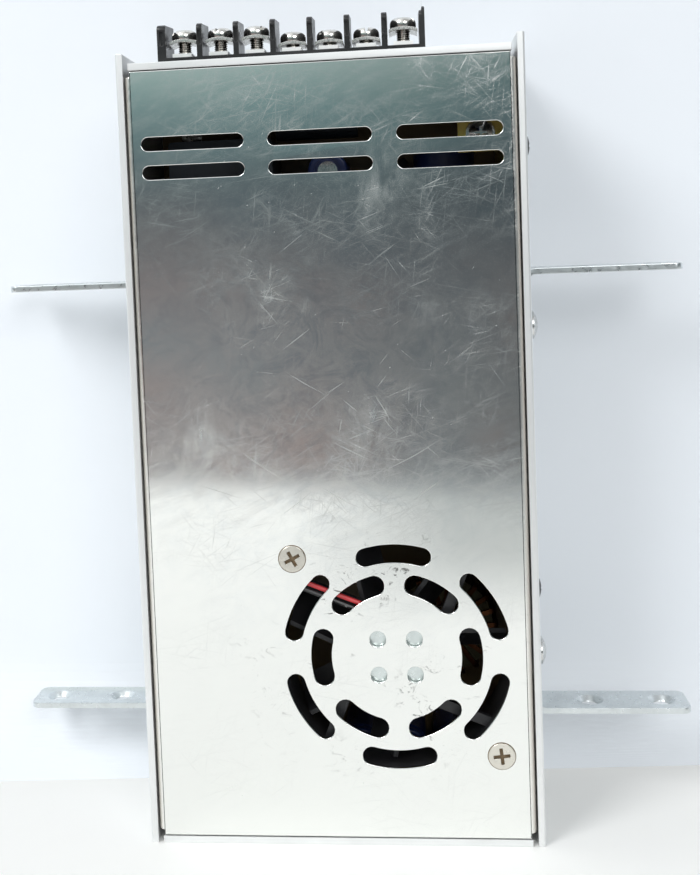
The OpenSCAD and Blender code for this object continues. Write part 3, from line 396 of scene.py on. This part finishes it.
def moulded_plastic(name, colour, rough, grain=1800):
    finish = new_finish(name, colour, 0.0, rough)
    texture = cloud(finish, place_on(finish, (grain, grain, grain)), 1.0, 3.0)
    dust = cloud(finish, place_on(finish, (90, 90, 90)), 1.0, 6.0, 0.65)
    feed(finish, "Roughness", remap(finish, dust, 0.3, 0.7, rough - 0.07, rough + 0.12))
    dusty = tuple(part * 0.9 + 0.02 for part in colour)
    feed(finish, "Base Color", mix_colours(finish, remap(finish, dust, 0.5, 0.8), colour, dusty))
    add_bump(finish, texture, 0.02 * MM, 0.3)
    return finish


def build_finishes():
    return {
        "cover": cover_aluminium(),
        "case": sheet_aluminium("case_aluminium", (0.88, 0.89, 0.89), 0.42),
        "fin": sheet_aluminium("heatsink_aluminium", (0.62, 0.63, 0.64), 0.34),
        "zinc": plated_metal("zinc_plate", (0.72, 0.76, 0.77), 0.30, 700),
        "nickel": plated_metal("nickel_plate", (0.80, 0.78, 0.74), 0.16, 1500),
        "cream_nickel": plated_metal("warm_nickel_plate", (0.74, 0.71, 0.64), 0.30, 500),
        "clamp": plated_metal("clamp_plate", (0.60, 0.59, 0.57), 0.26, 1500),
        "tin": sheet_aluminium("tin_plate", (0.93, 0.93, 0.92), 0.35),
        # Brown grime for the screw recesses, also used for the painted shadow ring round the fan screw heads.
        "grime_and_painted_shadow": moulded_plastic("recess_grime_and_painted_shadow", (0.16, 0.11, 0.06), 0.6),
        "golden": plated_metal("yellow_passivated", (0.86, 0.68, 0.20), 0.36, 900),
        "foil": plated_metal("bare_foil", (0.76, 0.82, 0.81), 0.30, 500),
        "black_steel": plated_metal("blackened_steel", (0.035, 0.035, 0.038), 0.38, 1300),
        "steel": plated_metal("bright_steel", (0.70, 0.70, 0.69), 0.22, 1300),
        "brass": plated_metal("brass", (0.80, 0.60, 0.26), 0.24, 1300),
        "copper": plated_metal("enamelled_copper", (0.13, 0.05, 0.022), 0.34, 1300),
        "black": moulded_plastic("black_plastic", (0.010, 0.010, 0.011), 0.30),
        "fan_black": moulded_plastic("fan_plastic", (0.016, 0.016, 0.018), 0.42),
        "red": moulded_plastic("red_insulation", (0.50, 0.03, 0.035), 0.40),
        "white": moulded_plastic("white_plastic", (0.78, 0.77, 0.72), 0.42),
        "tan_board": moulded_plastic("tan_board", (0.16, 0.11, 0.05), 0.35, 700),
        "film": moulded_plastic("dark_film", (0.03, 0.03, 0.035), 0.30),
        "blue_sleeve": moulded_plastic("blue_sleeve", (0.015, 0.03, 0.12), 0.30),
        "ferrite": moulded_plastic("ferrite", (0.05, 0.05, 0.052), 0.55),
        "yellow_tape": moulded_plastic("yellow_tape", (0.75, 0.56, 0.05), 0.38),
        "core": moulded_plastic("powder_core", (0.11, 0.10, 0.045), 0.5),
        "slate": moulded_plastic("slate_plastic", (0.030, 0.042, 0.055), 0.42),
        "blue": moulded_plastic("blue_plastic", (0.03, 0.12, 0.45), 0.38),
        "dark_epoxy": moulded_plastic("dark_epoxy", (0.03, 0.03, 0.03), 0.45),
        "green_lens": moulded_plastic("green_lens", (0.03, 0.35, 0.08), 0.12),
    }


NODE_FINISH = {
    "chassis": "case", "cover": "cover", "cover_screws": "nickel", "wall_screws": "black_steel",
    "brace_lower_left": "zinc", "brace_lower_right": "zinc",
    "brace_upper_left": "zinc", "brace_upper_right": "zinc",
    "brace_screws": "steel", "fan_frame": "fan_black", "fan_bearing": "brass", "fan_stator": "copper",
    "fan_rotor": "fan_black", "fan_disc": "foil", "fan_screws": "cream_nickel", "fan_wires": "red",
    "fan_plug": "white",
    "terminal_block": "black", "terminal_contacts": "tin", "terminal_board": "tan_board",
    "circuit_board": "tan_board", "board_standoffs": "brass", "board_screws": "nickel",
    "insulating_sheet": "film",
    "heatsink_left": "fin", "heatsink_right": "golden", "switching_transistors": "dark_epoxy",
    "bridge_rectifier": "dark_epoxy", "output_rectifiers": "dark_epoxy", "device_screws": "nickel",
    "storage_capacitors": "blue_sleeve", "lying_capacitor": "blue_sleeve", "output_capacitors": "blue_sleeve",
    "transformer_core": "ferrite", "transformer_bobbin": "dark_epoxy", "transformer_winding": "yellow_tape",
    "choke_core": "core", "choke_coils": "copper", "inductor_core": "core", "inductor_coil": "copper",
    "film_capacitor": "slate", "fuse": "slate", "varistor": "dark_epoxy", "trimmer_body": "blue",
    "trimmer_rotor": "white", "indicator_lamp": "green_lens",
}


def dress_cad_nodes():
    for name, node in nodes.items():
        node.data.materials.clear()
        node.data.materials.append(finishes[NODE_FINISH.get(name, "nickel")])


# --- modelling tools ----------------------------------------------------------

def put_down():
    """Object mode with nothing selected."""
    if bpy.context.object and bpy.context.object.mode != "OBJECT":
        bpy.ops.object.mode_set(mode="OBJECT")
    bpy.ops.object.select_all(action="DESELECT")


def take(piece):
    put_down()
    piece.select_set(True)
    bpy.context.view_layer.objects.active = piece
    return piece


def settle(piece):
    """Puts the piece's place and turn into its mesh."""
    take(piece)
    bpy.ops.object.transform_apply(location=True, rotation=True, scale=True)
    return piece


def add_block(low, high):
    put_down()
    low, high = Vector(low), Vector(high)
    bpy.ops.mesh.primitive_cube_add(size=1, location=(low + high) / 2, scale=high - low)
    return settle(bpy.context.object)


def add_rod(radius, low, high, sides=48, tip=None):
    """Upright rod, or a cone when its tip has another radius."""
    put_down()
    bpy.ops.mesh.primitive_cone_add(vertices=sides, radius1=radius, radius2=radius if tip is None else tip,
                                    depth=high - low, location=(0, 0, (low + high) / 2))
    return settle(bpy.context.object)


def pick_edges(piece, test):
    """Edit mode with the edges whose two ends pass the test."""
    take(piece)
    bpy.ops.object.mode_set(mode="EDIT")
    bpy.ops.mesh.select_mode(type="EDGE")
    bpy.ops.mesh.select_all(action="DESELECT")
    bpy.ops.object.mode_set(mode="OBJECT")
    points = piece.data.vertices
    for edge in piece.data.edges:
        edge.select = all(test(points[corner].co) for corner in edge.vertices)
    bpy.ops.object.mode_set(mode="EDIT")


def round_edges(piece, test, width, segments):
    pick_edges(piece, test)
    bpy.ops.mesh.bevel(offset=width, segments=segments, affect="EDGES")
    bpy.ops.object.mode_set(mode="OBJECT")
    return piece


def apply_modifier(piece, kind, **settings):
    take(piece)
    modifier = piece.modifiers.new(kind.lower(), kind)
    for name, value in settings.items():
        setattr(modifier, name, value)
    bpy.ops.object.modifier_apply(modifier=modifier.name)
    return piece


def cut(piece, *cutters):
    for cutter in cutters:
        apply_modifier(piece, "BOOLEAN", operation="DIFFERENCE", solver="EXACT", object=cutter)
        bpy.data.objects.remove(cutter)
    return piece


def soften(piece, width, segments=2, angle=38):
    return apply_modifier(piece, "BEVEL", width=width, segments=segments, limit_method="ANGLE",
                          angle_limit=math.radians(angle), use_clamp_overlap=False)


def join(*pieces):
    take(pieces[0])
    for piece in pieces[1:]:
        piece.select_set(True)
    bpy.ops.object.join()
    return bpy.context.object


def turn_to(piece, axis, place):
    """Stands a piece that was made upright on its place, its top facing along the axis."""
    piece.rotation_euler = Vector(axis).to_track_quat("Z", "Y").to_euler()
    piece.location = place
    return settle(piece)


def dress(piece, name, finish, body, slot, *stands_for):
    take(piece)
    piece.name = name
    if not piece.data.materials:
        piece.data.materials.append(finishes[finish])
    bpy.ops.object.shade_smooth_by_angle(angle=math.radians(35))
    apply_modifier(piece, "WEIGHTED_NORMAL", mode="FACE_AREA", weight=100, keep_sharp=True)
    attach(piece, body)
    if stands_for:
        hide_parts(*stands_for)
    return piece


def clean_copy(node):
    """A joined-up copy of a CAD node with its flat faces whole."""
    piece = bpy.data.objects.new(node, nodes[node].data.copy())
    bpy.context.scene.collection.objects.link(piece)
    piece.data.materials.clear()
    take(piece)
    bpy.ops.mesh.customdata_custom_splitnormals_clear()
    bpy.ops.object.mode_set(mode="EDIT")
    bpy.ops.mesh.select_all(action="SELECT")
    bpy.ops.mesh.remove_doubles(threshold=0.004 * MM)
    bpy.ops.mesh.dissolve_limited(angle_limit=math.radians(0.6))
    bpy.ops.object.mode_set(mode="OBJECT")
    return piece


# --- pieces -------------------------------------------------------------------

def rounded_part(node, name, finish, body, slot, width, segments=2):
    """A part pressed, bent or moulded as the CAD has it, with its edges broken."""
    dress(soften(clean_copy(node), width, segments), name, finish, body, slot, node)


def cross_cutters(width, length, depth, top):
    return [add_block((-across / 2, -along / 2, top - depth), (across / 2, along / 2, top + 1 * MM))
            for across, along in ((width, length), (length, width))]


def threaded_shank(radius, length):
    """Shank under z = 0 whose rings stand for its thread."""
    pitch, groove = 0.5 * MM, 0.86
    put_down()
    bpy.ops.mesh.primitive_circle_add(vertices=24, radius=radius, fill_type="NGON")
    shank = bpy.context.object
    bpy.ops.object.mode_set(mode="EDIT")
    bpy.ops.mesh.select_all(action="SELECT")
    for ring in range(int(length / pitch)):
        for scale in (groove, 1 / groove):
            bpy.ops.mesh.extrude_region_move(TRANSFORM_OT_translate={"value": (0, 0, -pitch / 2)})
            bpy.ops.transform.resize(value=(scale, scale, 1))
    bpy.ops.mesh.select_all(action="SELECT")
    bpy.ops.mesh.normals_make_consistent(inside=False)
    bpy.ops.object.mode_set(mode="OBJECT")
    return shank


def pan_head_screw(head_r, head_h, shank_r, shank_l):
    """Domed head on z = 0 with a cross recess and a driver slot, as terminal screws have."""
    head = add_rod(head_r, 0, head_h)
    round_edges(head, lambda at: at.z > head_h * 0.9, 0.62 * head_h, 7)
    cutters = cross_cutters(0.27 * head_r, 1.25 * head_r, 0.62 * head_h, head_h)
    cutters.append(add_block((-head_r - 1 * MM, -0.13 * head_r, 0.55 * head_h),
                             (head_r + 1 * MM, 0.13 * head_r, head_h + 1 * MM)))
    soften(cut(head, *cutters), 0.07 * MM)
    return join(head, threaded_shank(shank_r, shank_l))


def flat_head_screw(head_r, proud, shank_r, length):
    """Countersunk head whose rim stands a little proud, with a cross recess dark with age, and a dark ring
    round the rim painted as its shadow.
    """
    head = add_rod(shank_r, -CONE_H - 0.05 * MM, 0, tip=head_r)
    rim = add_rod(head_r, -0.02 * MM, proud, 64)
    round_edges(rim, lambda at: at.z > proud * 0.9, 0.6 * proud, 3)
    cut(rim, *cross_cutters(*FAN_CROSS, 3 * MM, proud))
    soften(rim, 0.05 * MM)
    recess = add_rod(2.2 * MM, -0.9 * MM, -0.5 * MM, 32)
    recess.data.materials.append(finishes["grime_and_painted_shadow"])
    shank = threaded_shank(shank_r, length - CONE_H)
    shank.location.z = -CONE_H
    for plated in (rim, head, settle(shank)):
        plated.data.materials.append(finishes["cream_nickel"])
    cut(head, *cross_cutters(*FAN_CROSS, CONE_H, 0))
    # Painted shadow: a thin dark disc just wider than the rim shows as a dark ring round the head, standing
    # for the shadow gap.
    ring = cut(add_rod(head_r + 0.16 * MM, 0, 0.05 * MM, 64), *cross_cutters(*FAN_CROSS, 1 * MM, 0))
    ring.data.materials.append(finishes["grime_and_painted_shadow"])
    return join(rim, head, recess, ring, shank)


def add_terminal_screws():
    for pole in range(1, POLES + 1):
        node = f"terminal_screw_{pole}"
        low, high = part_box(node)
        middle = middle_of(node)
        screw = pan_head_screw(HEAD_R, HEAD_H, TERMINAL_SHANK_R, high.z - low.z - HEAD_H)
        screw.rotation_euler.z = math.radians(25 + 50 * (pole - 1))
        screw.location = (middle.x, middle.y, high.z - HEAD_H)
        dress(settle(screw), f"binding_screw_{pole}", "nickel", f"terminal_{pole}", "nickel", node)
        rounded_part(f"terminal_clamp_{pole}", f"clamp_plate_{pole}", "clamp", f"terminal_{pole}", "nickel",
                     0.12 * MM)


def middle_of(node):
    low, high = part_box(node)
    return (low + high) / 2


def add_terminal_block():
    """Moulded block with a sunk panel in the front edge of every barrier but the right end one."""
    low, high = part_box("terminal_block")
    floor = high.z - BARRIER_RISE
    first = middle_of("terminal_screw_1").x
    last = middle_of(f"terminal_screw_{POLES}").x
    pitch = (last - first) / (POLES - 1)
    middles = [first - 0.5 * pitch - 0.4 * MM] + [first + (pole + 0.5) * pitch for pole in range(POLES - 1)]
    bottom, top = (floor + height for height in PANEL_HEIGHTS)
    cutters = [add_block((x - PANEL_HALF_WIDTH, low.y - 1 * MM, bottom),
                         (x + PANEL_HALF_WIDTH, low.y + PANEL_DEPTH, top)) for x in middles]
    block = soften(cut(clean_copy("terminal_block"), *cutters), 0.14 * MM)
    dress(block, "moulded_terminal_block", "black", "case", "black_plastic", "terminal_block")


def add_fan_screws():
    low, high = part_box("fan_screws")
    pair = []
    for x, z in ((low.x + FAN_HEAD_R, high.z - FAN_HEAD_R), (high.x - FAN_HEAD_R, low.z + FAN_HEAD_R)):
        screw = flat_head_screw(FAN_HEAD_R, 0.3 * MM, FAN_SHANK_R, high.y - low.y - 1.3 * MM)
        screw.rotation_euler.z = math.radians(28 if x < 0 else 6)
        pair.append(turn_to(settle(screw), (0, -1, 0), (x, low.y, z)))
    dress(join(*pair), "fan_fixing_screws", "cream_nickel", "case", "nickel", "fan_screws")


def loose_parts(node):
    """A copy of each separate solid of a CAD node."""
    clean_copy(node)
    bpy.ops.object.mode_set(mode="EDIT")
    bpy.ops.mesh.select_all(action="SELECT")
    bpy.ops.mesh.separate(type="LOOSE")
    bpy.ops.object.mode_set(mode="OBJECT")
    return list(bpy.context.selected_objects)


def add_fan_wires():
    """A red and a black wire side by side."""
    def total_height(wire):
        return sum(point.co.z for point in wire.data.vertices)

    wires = sorted(loose_parts("fan_wires"), key=total_height, reverse=True)
    for wire, insulation in zip(wires, ("red", "black")):
        wire.data.materials.clear()
        wire.data.materials.append(finishes[insulation])
    dress(join(*wires), "fan_wire_pair", "red", "case", "red_wire", "fan_wires")


def add_capacitor_tops():
    """Bare middle with a pressed cross on the front end of each standing capacitor."""
    for node in ("storage_capacitors", "output_capacitors"):
        tops = []
        for can in loose_parts(node):
            ways = list(zip(*(point.co for point in can.data.vertices)))
            low, high = Vector(map(min, ways)), Vector(map(max, ways))
            radius = (high.x - low.x) / 2
            top = add_rod(0.5 * radius, 0, 0.15 * MM, 40)
            cut(top, *cross_cutters(0.3 * MM, 0.85 * radius, 0.08 * MM, 0.15 * MM))
            tops.append(turn_to(top, (0, -1, 0), ((low.x + high.x) / 2, low.y, (low.z + high.z) / 2)))
            bpy.data.objects.remove(can)
        dress(join(*tops), node.replace("capacitors", "capacitor_tops"), "nickel", "case", "case_aluminium")


def add_pieces():
    rounded_part("cover", "slotted_cover", "cover", "case", "cover_aluminium", 0.22 * MM, 3)
    rounded_part("chassis", "folded_case", "case", "case", "case_aluminium", 0.18 * MM)
    for corner in ("lower_left", "lower_right", "upper_left", "upper_right"):
        rounded_part(f"brace_{corner}", f"angle_brace_{corner}", "zinc", "case", "zinc", 0.2 * MM)
    add_terminal_block()
    add_terminal_screws()
    add_fan_screws()
    add_fan_wires()
    add_capacitor_tops()


def table_finish():
    """Pale table top with a painted shadow in front at the right, and its front lip painted dark as shade."""
    finish = new_finish("table_white", (0.93, 0.935, 0.93), 0.0, 0.6)
    tone = cloud(finish, place_on(finish, (3, 3, 3)), 1.0, 4.0)
    pale = mix_colours(finish, tone, (0.925, 0.935, 0.92), (0.955, 0.96, 0.945))
    where = place_on(finish, (STAGE_WIDTH, TABLE_DEPTH, 1))
    place = add_node(finish, "ShaderNodeSeparateXYZ", (), [(0, where)]).outputs
    ahead = combine(finish, "SUBTRACT", TABLE_DEPTH / 2 - TABLE_BACK, place["Y"])
    # Painted shadow: darker grey over the right front of the table.
    shade = times(finish, remap(finish, place["X"], -0.045, 0.04),
                  remap(finish, ahead, 0.17 + CASE_FRONT, 0.28 + CASE_FRONT))
    pale = mix_colours(finish, shade, pale, (0.45, 0.47, 0.465))
    # Painted shade: a dark strip along the front lip of the table.
    lip = plus(finish, ahead, remap(finish, place["X"], -0.15, 0.15, -0.04, 0.04))
    dark = remap(finish, lip, 0.450, 0.456)
    feed(finish, "Base Color", mix_colours(finish, dark, pale, (0.16, 0.18, 0.19)))
    return finish


def wall_finish():
    """Matt pale blue-white, but clear from behind and to a reflection that meets it close by."""
    finish = new_finish("wall_white", (0.79, 0.83, 0.875), 0.0, 0.9)
    shader = finish.node_tree.nodes["Principled BSDF"]
    clear = add_node(finish, "ShaderNodeBsdfTransparent")
    side = add_node(finish, "ShaderNodeNewGeometry").outputs["Backfacing"]
    rays = add_node(finish, "ShaderNodeLightPath").outputs
    close = combine(finish, "LESS_THAN", rays["Ray Length"], NEAR_GLOSS)
    near = times(finish, rays["Is Glossy Ray"], close)
    passed = combine(finish, "MAXIMUM", side, near)
    mix = add_node(finish, "ShaderNodeMixShader", (),
                   [(0, passed), (1, shader.outputs[0]), (2, clear.outputs[0])])
    result = finish.node_tree.nodes["Material Output"]
    finish.node_tree.links.new(mix.outputs[0], result.inputs["Surface"])
    return finish


def add_stage():
    add_table(table_finish())
    add_wall(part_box("chassis")[1].y + WALL_GAP, wall_finish())


def add_wall(wall_y, finish):
    """Hanging paper whose foot curls forward on to the table, further at the left than at the right."""
    put_down()
    bpy.ops.mesh.primitive_grid_add(x_subdivisions=60, y_subdivisions=120, size=1)
    wall = bpy.context.object
    for point in wall.data.vertices:
        across, up = STAGE_WIDTH * point.co.x, WALL_HEIGHT * (point.co.y + 0.5) ** 3
        foot = min(WALL_FOOT + WALL_SLANT * across, wall_y) if abs(across) < CURL_REACH else wall_y
        curl = max(0.0, 1 - up / WALL_CURL) ** 2
        point.co = (across, wall_y - (wall_y - foot) * curl, up)
    wall.name = "wall"
    wall.data.materials.append(finish)
    wall.visible_diffuse = False
    wall.visible_shadow = False
    wall.visible_transmission = False


add_camera()
add_room()
add_stage()
for lamp in LAMPS:
    add_lamp(*lamp)
finishes = build_finishes()
dress_cad_nodes()
add_pieces()
